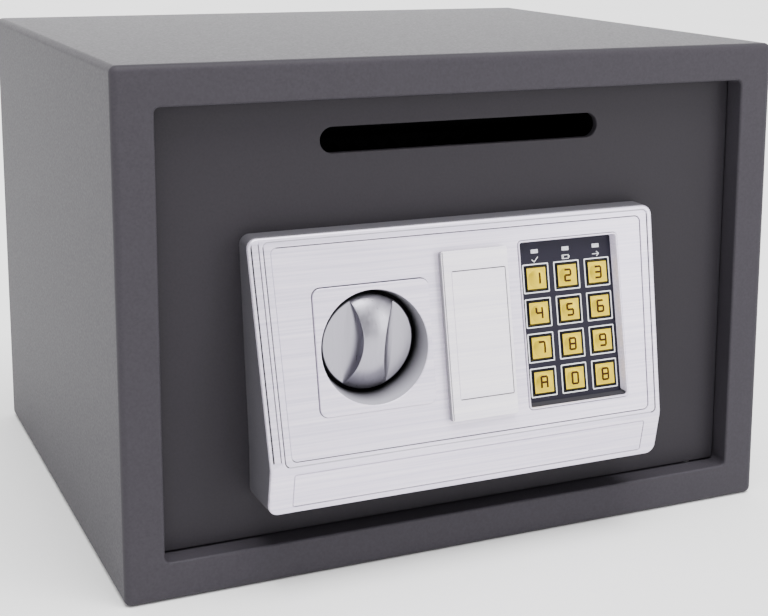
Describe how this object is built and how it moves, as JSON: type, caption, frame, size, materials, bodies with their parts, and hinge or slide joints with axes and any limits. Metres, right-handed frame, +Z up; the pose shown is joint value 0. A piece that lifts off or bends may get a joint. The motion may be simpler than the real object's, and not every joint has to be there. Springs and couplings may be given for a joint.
{
  "type": "drop-slot safe",
  "caption": "Steel box safe with a recessed hinged door, deposit slot and duct, wedge-shaped keypad lock panel, knob-driven bolts and a key override lock.",
  "frame": {"origin": "centre of the bottom face of the body, on the surface it stands on", "axes": "+X to the right seen from the front, +Y from the front into the safe, +Z up"},
  "size_m": [0.35, 0.3227, 0.25],
  "materials": {
    "body_paint": "fine-textured satin powder coat, mid grey",
    "door_paint": "fine-textured matte powder coat, dark grey",
    "duct_paint": "matte black powder coat inside the deposit duct",
    "zinc": "zinc plated sheet",
    "bright_steel": "turned, bright",
    "brass": "turned",
    "copper_winding": "enamelled copper wire",
    "felt": "short-pile felt",
    "dark_housing": "moulded, dark grey",
    "silver_panel": "brushed along the length, silver",
    "silver_knob": "satin silver metallised",
    "navy_label": "printed film, dark blue grey",
    "gold_key": "gold coloured, satin",
    "black_plastic": "moulded, black",
    "pale_lens": "clear to pale grey",
    "grey_rubber": "moulded silicone",
    "board_green": "lacquered circuit board",
    "cell_wrap": "shrink sleeve, dark grey",
    "red_plastic": "moulded, red",
    "ribbon": "flat cable, grey"
  },
  "bodies": {
    "case": {"body_shell": "body_paint", "back_plate": "body_paint", "floor_mat": "felt", "hinge_bush_top": "zinc", "hinge_bush_bottom": "zinc"},
    "door": {"door_plate": "door_paint", "hinge_pin_top": "bright_steel", "hinge_pin_bottom": "bright_steel", "deposit_chute": "duct_paint", "deposit_hood": "duct_paint", "panel_housing": "dark_housing", "panel_bezel": "silver_panel", "knob_escutcheon": "silver_panel", "keypad_plate": "navy_label", "lens_strip": "pale_lens", "keypad_membrane": "grey_rubber", "keypad_board": "board_green", "knob_bush": "brass", "lock_frame": "zinc", "guide_stud_lower": "bright_steel", "guide_stud_upper": "bright_steel", "solenoid_frame": "zinc", "solenoid_coil": "copper_winding", "plunger_spring": "bright_steel", "lock_barrel": "zinc", "lock_nut": "zinc", "inner_cover": "black_plastic", "cover_nut_lower": "zinc", "cover_nut_upper": "zinc", "battery_holder": "black_plastic", "battery_1": "cell_wrap", "battery_2": "cell_wrap", "battery_3": "cell_wrap", "battery_4": "cell_wrap", "control_board": "board_green", "ribbon_cable": "ribbon"},
    "knob_and_cam": {"knob": "silver_knob", "cam_spindle": "zinc"},
    "bolt_work": {"bolt_plate": "zinc", "bolt_lower": "bright_steel", "bolt_upper": "bright_steel"},
    "plunger_body": {"plunger": "bright_steel"},
    "override_lock": {"override_plug": "brass", "override_lever": "zinc"},
    "cover_plate": {"key_cover": "silver_panel"},
    "reset": {"reset_button": "red_plastic"},
    "lid": {"battery_lid": "black_plastic"},
    "key_1_body": {"key_1": "gold_key"},
    "key_2_body": {"key_2": "gold_key"},
    "key_3_body": {"key_3": "gold_key"},
    "key_4_body": {"key_4": "gold_key"},
    "key_5_body": {"key_5": "gold_key"},
    "key_6_body": {"key_6": "gold_key"},
    "key_7_body": {"key_7": "gold_key"},
    "key_8_body": {"key_8": "gold_key"},
    "key_9_body": {"key_9": "gold_key"},
    "key_a_body": {"key_a": "gold_key"},
    "key_0_body": {"key_0": "gold_key"},
    "key_b_body": {"key_b": "gold_key"}
  },
  "joints": [
    {"name": "door_hinge", "type": "hinge", "parent": "case", "child": "door", "pos_m": [0.14, -0.1345, 0.125], "axis": [0, 0, 1], "range_deg": [0, 105]},
    {"name": "knob_turn", "type": "hinge", "parent": "door", "child": "knob_and_cam", "pos_m": [-0.0562, -0.152, 0.1143], "axis": [0, -1, 0], "range_deg": [0, 90]},
    {"name": "bolt_slide", "type": "slide", "parent": "door", "child": "bolt_work", "axis": [-1, 0, 0], "range_m": [0, 0.015]},
    {"name": "plunger_slide", "type": "slide", "parent": "door", "child": "plunger_body", "axis": [0, 0, -1], "range_m": [-0.005, 0], "deforming": ["plunger_spring"]},
    {"name": "override_turn", "type": "hinge", "parent": "door", "child": "override_lock", "pos_m": [-0.0026, -0.1526, 0.115], "axis": [0, -1, 0], "range_deg": [0, 90]},
    {"name": "key_cover_pull", "type": "slide", "parent": "door", "child": "cover_plate", "axis": [0, -0.9806, 0.1961], "range_m": [0, 0.015]},
    {"name": "reset_press", "type": "slide", "parent": "door", "child": "reset", "axis": [0, -1, 0], "range_m": [0, 0.0012], "stiffness_N_per_m": 600, "springref_m": -0.0005},
    {"name": "battery_lid_hinge", "type": "hinge", "parent": "door", "child": "lid", "pos_m": [0.0638, -0.0917, 0.053], "axis": [-1, 0, 0], "range_deg": [0, 100]},
    {"name": "key_1_press", "type": "slide", "parent": "door", "child": "key_1_body", "axis": [0, 0.9806, -0.1961], "range_m": [0, 0.0006], "stiffness_N_per_m": 800, "springref_m": -0.0003},
    {"name": "key_2_press", "type": "slide", "parent": "door", "child": "key_2_body", "axis": [0, 0.9806, -0.1961], "range_m": [0, 0.0006], "stiffness_N_per_m": 800, "springref_m": -0.0003},
    {"name": "key_3_press", "type": "slide", "parent": "door", "child": "key_3_body", "axis": [0, 0.9806, -0.1961], "range_m": [0, 0.0006], "stiffness_N_per_m": 800, "springref_m": -0.0003},
    {"name": "key_4_press", "type": "slide", "parent": "door", "child": "key_4_body", "axis": [0, 0.9806, -0.1961], "range_m": [0, 0.0006], "stiffness_N_per_m": 800, "springref_m": -0.0003},
    {"name": "key_5_press", "type": "slide", "parent": "door", "child": "key_5_body", "axis": [0, 0.9806, -0.1961], "range_m": [0, 0.0006], "stiffness_N_per_m": 800, "springref_m": -0.0003},
    {"name": "key_6_press", "type": "slide", "parent": "door", "child": "key_6_body", "axis": [0, 0.9806, -0.1961], "range_m": [0, 0.0006], "stiffness_N_per_m": 800, "springref_m": -0.0003},
    {"name": "key_7_press", "type": "slide", "parent": "door", "child": "key_7_body", "axis": [0, 0.9806, -0.1961], "range_m": [0, 0.0006], "stiffness_N_per_m": 800, "springref_m": -0.0003},
    {"name": "key_8_press", "type": "slide", "parent": "door", "child": "key_8_body", "axis": [0, 0.9806, -0.1961], "range_m": [0, 0.0006], "stiffness_N_per_m": 800, "springref_m": -0.0003},
    {"name": "key_9_press", "type": "slide", "parent": "door", "child": "key_9_body", "axis": [0, 0.9806, -0.1961], "range_m": [0, 0.0006], "stiffness_N_per_m": 800, "springref_m": -0.0003},
    {"name": "key_a_press", "type": "slide", "parent": "door", "child": "key_a_body", "axis": [0, 0.9806, -0.1961], "range_m": [0, 0.0006], "stiffness_N_per_m": 800, "springref_m": -0.0003},
    {"name": "key_0_press", "type": "slide", "parent": "door", "child": "key_0_body", "axis": [0, 0.9806, -0.1961], "range_m": [0, 0.0006], "stiffness_N_per_m": 800, "springref_m": -0.0003},
    {"name": "key_b_press", "type": "slide", "parent": "door", "child": "key_b_body", "axis": [0, 0.9806, -0.1961], "range_m": [0, 0.0006], "stiffness_N_per_m": 800, "springref_m": -0.0003}
  ],
  "couplings": [
    {"joint": "knob_turn", "follows": "bolt_slide", "rad_per_m": 104.72}
  ]
}
